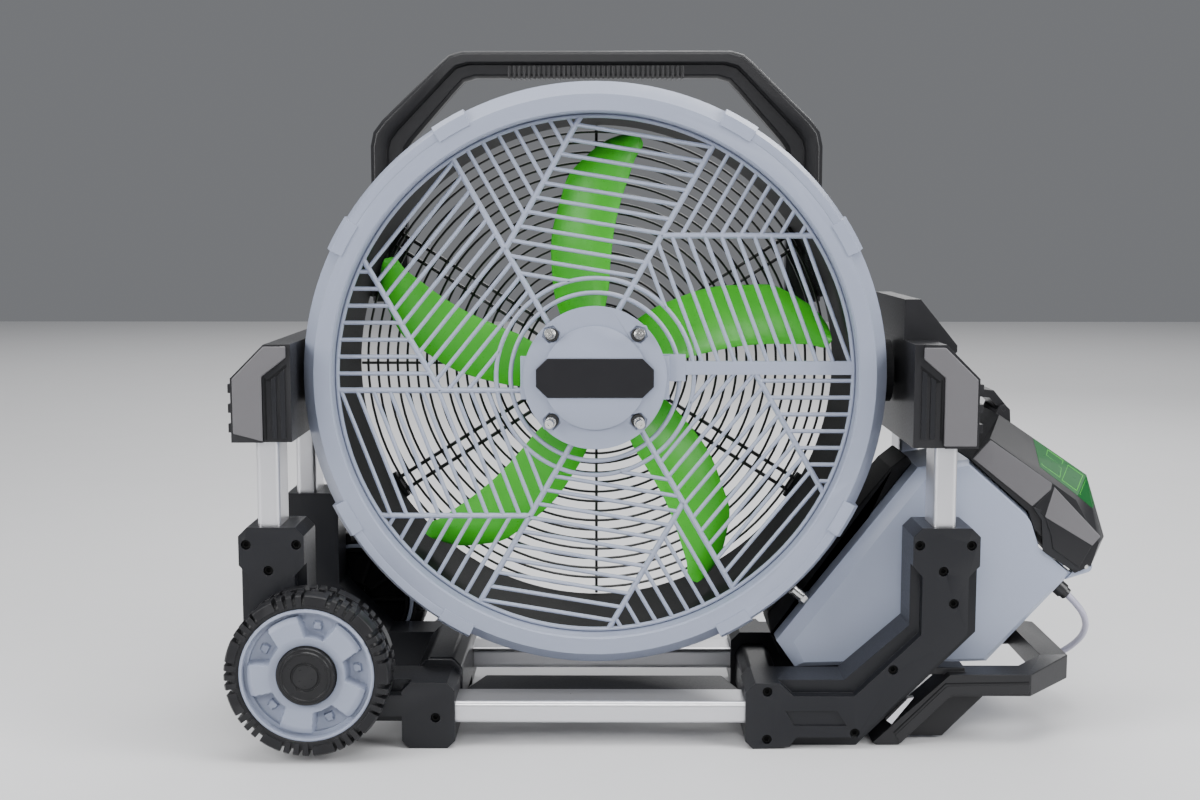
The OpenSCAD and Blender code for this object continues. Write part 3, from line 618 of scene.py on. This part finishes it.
def make_rim(name, body, node, side):
    """A rim with a lip, a channel and five wedge pockets between raised pads, on a plain barrel."""
    at = clockwise(wheel_place(node, side))

    def depth(angle, r):
        """How far the face lies behind the wheel's outer plane."""
        if r > 57.6:
            return 1
        if r > 54:
            return 9
        pocket = min(abs((angle - 12 - 72 * k + 180) % 360 - 180) for k in range(5))
        across = r * math.sin(math.radians(min(pocket, 80)))
        inside = 8.5 + (r - 34) * 0.5 - across
        edge = min(inside, r - 34.5)
        pad = 2.2 + 2.6 * max(0, (r - 49) / 5) + 1.2 * max(0, (34 - r) / 6)
        if r < 34 or edge < 0:
            return pad
        floor = 13 + 2 * (54 - r) / 20
        if across < 3.6 and 41 < r < 48:
            floor -= 3
        return min(floor, pad + 7 * edge)

    shape = Shape()
    radii = [26.8, 27.6, 30, 33, 34.4, 35, 36, 37.5, 39, 40.6, 41.4, 43, 45, 46.6, 47.6, 48.6, 50, 51.4,
             52.6, 53.4, 53.9, 54.1, 57.5, 57.8, 59.6]
    loops = []
    for step in range(240):
        angle = 1.5 * step
        face = [at(angle, r, depth(angle, r)) for r in radii]
        back = [(RIM_R, 2), (RIM_R, 41), (57, 41), (56, 22), (26.8, 20)]
        loops.append(face + [at(angle, r, w) for r, w in back])
    shape.loft(loops, closed=True)
    shape.piece(name, "ring_grey", body, [node], angle=28)


def make_wheel_cap(wheel, side):
    """A turned cap with rings on its face, and a near-black ring in the gap round it that paints the gap's
    shade.
    """
    low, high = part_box(wheel + "_cap")
    centre = (low + high) / 2
    face = high.y if side > 0 else low.y
    rim_low, rim_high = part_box(wheel + "_rim")
    edge = (rim_high.y if side > 0 else rim_low.y) - side * 2.4 * MM
    full = (high.x - low.x) / 2 / MM
    deep = (high.y - low.y) / MM
    profile = [(0.05, 1), (11, 1), (11.6, 1.9), (12.8, 1.9), (13.4, 1), (20.5, 0.8), (21, 0), (22.4, 0),
               (23.2, 1.1), (full - 0.8, 1.3), (full, 2.4), (full, deep), (0.05, deep)]

    def at(angle, r, y):
        return Vector((centre.x + r * MM * math.cos(angle), y, centre.z + r * MM * math.sin(angle)))

    cap, gap_shade = Shape(), Shape()
    turns = [2 * math.pi * i / 90 for i in range(90)]
    cap.loft([[at(t, r, face - side * w * MM) for r, w in profile] for t in turns], closed=True)
    # Painted shade: a near-black tube in the gap between cap and rim.
    gap_shade.tube([at(t, 26.4, edge) for t in turns], 1.1 * MM, 8, closed=True)
    cap.piece(wheel + "_cap_turned", "wheel_cap_grey", wheel, [wheel + "_cap"], angle=25)
    gap_shade.piece(wheel + "_gap", "inner_black", wheel)


# ---------- carry handle ----------
HANDLE_OUTER = [(-230, 62), (-230, 220), (-227, 234), (-218, 246), (-159, 303), (-149, 311.5), (-136, 315)]
HANDLE_INNER = [(-194, 62), (-194, 210), (-192, 218), (-186, 226), (-143, 275), (-134, 284.5), (-122, 288)]
HANDLE_SECTION = [
    (0, -94), (0.03, -88), (0.14, -84.3), (0.44, -84.3), (0.5, -86), (0.52, -88.5), (0.9, -89),
    (1, -93), (1, -107), (0.9, -112.5), (0.14, -113.7), (0, -107),
]


def make_carry_handle():
    """A rounded bow with a stepped inner side and ribs along the grip."""
    shape = Shape()
    flip = [(-x, y) for x, y in HANDLE_OUTER[::-1]], [(-x, y) for x, y in HANDLE_INNER[::-1]]
    loops = []
    for (ox, oy), (ix, iy) in zip(HANDLE_OUTER + flip[0], HANDLE_INNER + flip[1]):
        loops.append([head(ox + (ix - ox) * t, oy + (iy - oy) * t, z) for t, z in HANDLE_SECTION])
    shape.loft(loops)
    for i in range(36):
        x = -88 + 5 * i
        outline = [(x - 1.3, 300), (x + 1.3, 300), (x + 1.3, 287), (x - 1.3, 287)]
        shape.slab(outline, head, -111, -87.6)
    for sign in (-1, 1):
        for i in range(8):
            a = math.radians(16.5 + 1.2 * i)
            b = math.radians(17.7 + 1.2 * i)
            outline = [(sign * r * math.cos(t), r * math.sin(t)) for r, t in
                       ((237, a), (251, a), (251, b), (237, b))]
            shape.slab(outline, head, -92, -74)
    shape.piece("bow_handle", "handle_black", "head", ["carry_handle"], bevel=0.8, angle=40)


# ---------- lid ----------
LID_LOW = [(372, 281), (455, 222), (478, 180)]
LID_HIGH = [(385, 301), (470, 243), (489, 183)]


def make_lid_details():
    """The side panels, the stepped corner blocks and the skirts over the edge of the box."""
    panels, blocks, skirts, lines = Shape(), Shape(), Shape(), Shape()
    for side in (-1, 1):
        spot = beside(side)

        def sheet(shape, points, thick=1.2):
            front = [spot(*p) for p in points]
            shape.loft([front, [p - Vector((0, side * thick * MM, 0)) for p in front]])

        panels_at = [(356.5, 261.5, 55.9), (372.5, 279.5, 55.2), (432, 238, 55.2), (431, 232, 55.3),
                     (413.5, 216, 55.9)]
        sheet(panels, panels_at)
        a3, f1 = (415, 214.8, 55.7), (434, 234.5, 55.2)
        f2, b2, b1 = (425.2, 206.2, 57.8), (471, 178.5, 57.8), (479.5, 187, 55)
        c1, c2, c3 = (459.5, 157.5, 57.8), (434, 175.4, 57.8), (431.5, 189, 57.8)
        corners = [spot(*p) for p in (a3, f1, f2, b1, b2, c1, c2, c3)]
        back = [p - Vector((0, side * 6 * MM, 0)) for p in corners]
        rim = (0, 1, 3, 4, 5, 6, 7, 2)
        faces = [(0, 1, 2), (1, 3, 4, 2), (2, 4, 5, 6, 7), tuple(8 + i for i in rim)]
        faces += [(rim[i], rim[(i + 1) % 8], 8 + rim[(i + 1) % 8], 8 + rim[i]) for i in range(8)]
        blocks.add(corners + back, faces)
        lift = 0.35
        sheet(panels, [(x, z, y + lift) for x, z, y in (f2, b2, b1, f1)])
        skirt = [(413.5, 216), (422.6, 202.8), (424.7, 173), (448.8, 157), (461, 153.5), (455, 182),
                 (432, 208)]
        sheet(skirts, [(x, z, 56.8) for x, z in skirt], 1.5)

        def on_window(part, u, v):
            low, high = LID_LOW[part:part + 2], LID_HIGH[part:part + 2]
            x0, z0 = (low[0][k] + (low[1][k] - low[0][k]) * u for k in (0, 1))
            x1, z1 = (high[0][k] + (high[1][k] - high[0][k]) * u for k in (0, 1))
            return spot(x0 + (x1 - x0) * v, z0 + (z1 - z0) * v, 55 - 20 * v)

        frames = (
            (0, ((0.56, 0.34), (0.77, 0.34), (0.75, 0.66), (0.545, 0.66))),
            (0, ((0.57, 0.74), (0.74, 0.74), (0.74, 0.94), (0.56, 0.94))),
            (0, ((0.80, 0.30), (0.97, 0.30), (0.97, 0.90), (0.80, 0.90))),
            (1, ((0.03, 0.30), (0.20, 0.45), (0.22, 0.90), (0.03, 0.90))),
        )
        for part, quad in frames:
            ends = [on_window(part, *c) for c in quad]
            for i in range(4):
                lines.tube([ends[i], ends[(i + 1) % 4]], 0.24 * MM, 6)
    # The side panels take the lighter panel grey: painted sheen on the charcoal plastic.
    panels.piece("lid_panels", "cap_charcoal", "lid", bevel=0.7, angle=12, finish="panel_sheen_grey")
    blocks.piece("lid_blocks", "cap_charcoal", "lid", bevel=0.6, angle=8)
    skirts.piece("lid_skirts", "casting_black", "lid")
    lines.piece("window_lines", "accent_green", "lid")


# ---------- cap details ----------
LEFT_PANEL = [(-278, 372.4), (-298, 372.4), (-327, 343), (-327, 293), (-300, 286), (-300, 345), (-278, 362)]
RIGHT_PANEL = [(296, 371.6), (315, 371.6), (345, 342.5), (345, 282), (315.5, 282), (315.5, 344), (296, 361)]


def make_cap_details():
    """Outer panels, a slanting shadow slot, a thin upright shadow line and two upright steps on each cap;
    the slot and the line are near-black pieces of painted shade.
    """
    panels, shadow_slots, steps = Shape(), Shape(), Shape()
    for panel, sign, edge, top in ((LEFT_PANEL, 1, -298, 346), (RIGHT_PANEL, -1, 313.5, 345)):
        for node, face in (("left_cap", -1), ("right_cap", 1)):
            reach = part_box("front_" + node)[0].y / MM if face < 0 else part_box("rear_" + node)[1].y / MM

            def at(x, z, w):
                return on_axis_x((x, reach - face * w, z))

            panels.slab(panel, at, -0.9, 3)
            slot = [(edge + sign * 1.5, top - 5), (edge + sign * 20, top + 10),
                    (edge + sign * 20, top + 7), (edge + sign * 5, top - 6)]
            shadow_slots.slab(slot, at, 3.7, 6)
            # A thin upright near-black strip: painted shade along the panel's edge.
            shadow_slots.slab([(edge + sign * u, z) for u, z in
                        ((0, top - 3), (1.1, top - 3), (1.1, 287), (0, 287))], at, 3.6, 6)
            for u in (6, 14):
                steps.slab([(edge + sign * (u + a), z) for a, z in
                            ((0, top - 8 + u * 0.75), (4.5, top - 5 + u * 0.75), (4.5, 288), (0, 288))],
                           at, 2.4, 6)
    # The outer panels take the lighter panel grey: painted sheen on the charcoal plastic.
    panels.piece("cap_panels", "cap_charcoal", "frame", bevel=1.1, angle=20, finish="panel_sheen_grey")
    shadow_slots.piece("cap_slots", "inner_black", "frame")
    steps.piece("cap_steps", "casting_black", "frame", bevel=0.5, angle=20)


# ---------- small pieces ----------
NOZZLE_AT = 39.5
PAD_R = 12


def make_nozzle_pads():
    """Six-sided pads under the four misting nozzles."""
    shape = Shape()
    for x in (-NOZZLE_AT, NOZZLE_AT):
        for y in (-NOZZLE_AT, NOZZLE_AT):
            outline = [(x + PAD_R * math.cos(t), y + PAD_R * math.sin(t))
                       for t in (math.pi / 4 + math.pi / 3 * k for k in range(6))]
            shape.slab(outline, head, 70, 75.6)
    shape.piece("nozzle_pads", "ring_grey", "head", bevel=0.8)


def make_handle_braces():
    """Bright aluminium strips between the right castings and the pull handle."""
    shape = Shape()
    outline = [(270, 25), (275, 21.5), (295, 47), (289.5, 46)]
    for side in (-1, 1):
        shape.slab(outline, beside(side), 104, 111)
    shape.piece("handle_braces", "tube_aluminium", "frame")


ARM_FACE = 106
# A line a little under the upper edge of the pull handle's arm, from the floor up to the corner
ARM_LINE = [(278, 11.5), (325, 58.5), (402, 60)]


def make_arm_grooves():
    """A near-black line that paints the shade of a groove, and a raised band, along the outer face of each
    arm of the pull handle.
    """
    groove_shades, bands = Shape(), Shape()
    for side in (-1, 1):
        at = beside(side)
        # Painted shade: a near-black tube along the arm where the groove lies.
        groove_shades.tube([at(x, z, ARM_FACE) for x, z in ARM_LINE], 0.7 * MM, 8)
        below = [(x + 1.2, z - 2.2) for x, z in ARM_LINE]
        end = [(x + 6.5, z - 10) for x, z in ARM_LINE]
        end[-1] = (402, 49)
        bands.slab(below + end[::-1], at, ARM_FACE - 2, ARM_FACE + 0.8)
    groove_shades.piece("arm_grooves", "inner_black", "frame")
    bands.piece("arm_bands", "handle_black", "frame", bevel=0.7, angle=20)


# ---------- floor and light ----------
def make_floor():
    bpy.ops.mesh.primitive_plane_add(size=12, location=(0, 0, -0.0004))
    floor = bpy.context.object
    floor.name = "studio_floor"
    floor.data.materials.append(shader("floor_pale", (0.62, 0.62, 0.63), 0.7, 0.02, 60, 0.02, 0.0))


def make_light(name, place, aim, size, power):
    data = bpy.data.lights.new(name, "AREA")
    data.shape = "RECTANGLE"
    data.size, data.size_y = size
    data.energy = power
    light = bpy.data.objects.new(name, data)
    light.location = place
    light.rotation_euler = (Vector(aim) - Vector(place)).to_track_quat("-Z", "Y").to_euler()
    bpy.context.scene.collection.objects.link(light)


def make_studio():
    make_floor()
    make_light("right_light", (1.9, -0.9, 1.2), (0.1, 0, 0.3), (1.1, 1.3), 52)
    make_light("left_light", (-1.8, -1.0, 1.1), (-0.1, 0, 0.3), (1.0, 1.2), 40)
    make_light("front_light", (-0.2, -2.3, 1.5), (0, 0, 0.35), (1.2, 0.6), 26)
    make_light("top_light", (0, -0.3, 2.1), (0, 0, 0.3), (2.0, 0.9), 38)
    make_light("back_light", (0.6, 2.2, 1.6), (0, 0, 0.3), (1.4, 1.0), 20)
    make_light("floor_light", (0, 3.2, 3.2), (0, 3.0, 0), (6.0, 2.5), 130)
    world = bpy.data.worlds.new("studio_world")
    world.use_nodes = True
    sky = world.node_tree.nodes["Background"]
    sky.inputs["Color"].default_value = (0.72, 0.74, 0.78, 1)
    sky.inputs["Strength"].default_value = 0.25
    bpy.context.scene.world = world


# ---------- build ----------
make_camera()
MATERIALS = make_materials()
SLOTS = {part["node"]: part["material_slot"] for part in frame["record"]["subparts"]}
make_hose()
for node_name in nodes:
    finish_node(node_name)
for node_name, edge in SOFT_EDGES.items():
    soften(node_name, edge)
make_grille()
make_blades()
make_rear_guard()
for wheel, side in (("front_wheel", -1), ("rear_wheel", 1)):
    make_tyre(wheel + "_tread", wheel, wheel + "_tyre", side)
    make_rim(wheel + "_face", wheel, wheel + "_rim", side)
    make_wheel_back(wheel + "_back", wheel, wheel + "_rim", side)
    make_wheel_cap(wheel, side)
make_carry_handle()
make_lid_details()
make_cap_details()
make_nozzle_pads()
make_handle_braces()
make_arm_grooves()
make_studio()
